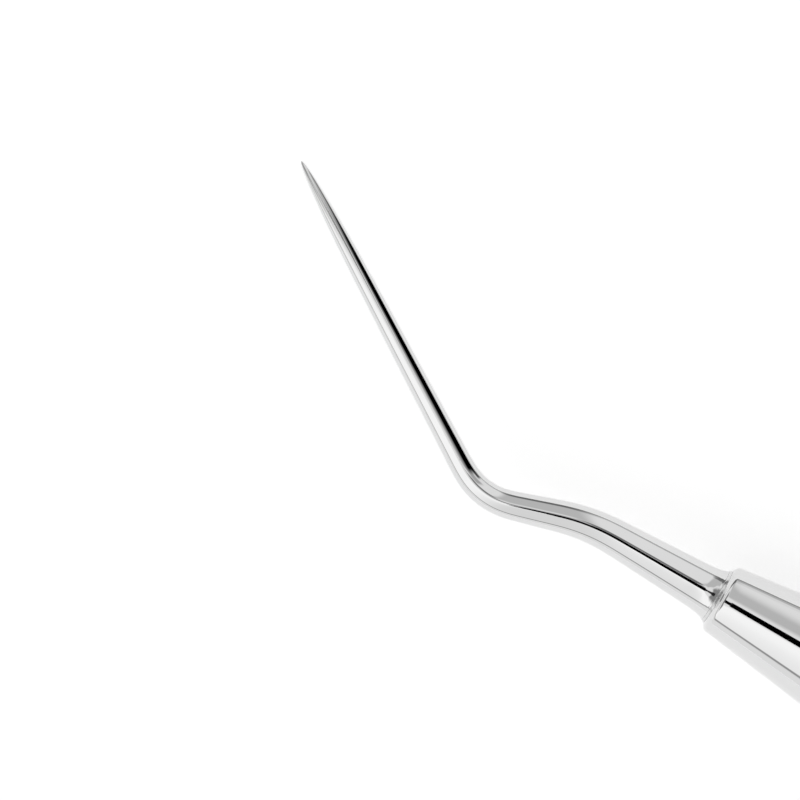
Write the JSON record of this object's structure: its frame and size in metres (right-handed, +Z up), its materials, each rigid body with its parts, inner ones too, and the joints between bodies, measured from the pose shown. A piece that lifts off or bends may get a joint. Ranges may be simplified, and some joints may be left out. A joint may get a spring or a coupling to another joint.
{
  "type": "scriber",
  "caption": "Hand scriber: a slender tapered needle on a cranked steel shank, screwed into the flared nose of a hollow octagonal handle with knurled grips.",
  "frame": {"origin": "centre of the barrel's flat that the tool rests on", "axes": "+X along the handle from the needle to the end cap, +Z up, away from the resting flat; the needle and its cranked shank lie in a level plane, with the tip towards +Y"},
  "size_m": [0.1615, 0.0161, 0.0086],
  "materials": {
    "polished_steel": "mirror-polished stainless steel",
    "washer_steel": "turned stainless steel",
    "pin_steel": "ground stainless steel",
    "satin_steel": "satin stainless steel, brushed lengthways on the flats",
    "knurled_steel": "diamond-knurled stainless steel",
    "silicone": "matt dark grey silicone"
  },
  "bodies": {
    "handle": {"nose_ferrule": "polished_steel", "ferrule_pin": "pin_steel", "handle_tube": "satin_steel", "front_ring": "silicone", "front_grip": "knurled_steel", "rear_grip": "knurled_steel", "rear_ring": "silicone", "cap_pin": "pin_steel", "end_cap": "polished_steel"},
    "washer": {"seat_washer": "washer_steel"},
    "point": {"working_point": "polished_steel"}
  },
  "joints": [
    {"name": "point_advance", "type": "slide", "parent": "handle", "child": "washer", "axis": [-1, 0, 0], "range_m": [0, 0.00675]},
    {"name": "point_turn", "type": "hinge", "parent": "washer", "child": "point", "pos_m": [-0.0632, 0, 0.0043], "axis": [-1, 0, 0], "range_deg": [0, 4865]}
  ],
  "couplings": [
    {"joint": "point_turn", "follows": "point_advance", "rad_per_m": 12566}
  ]
}
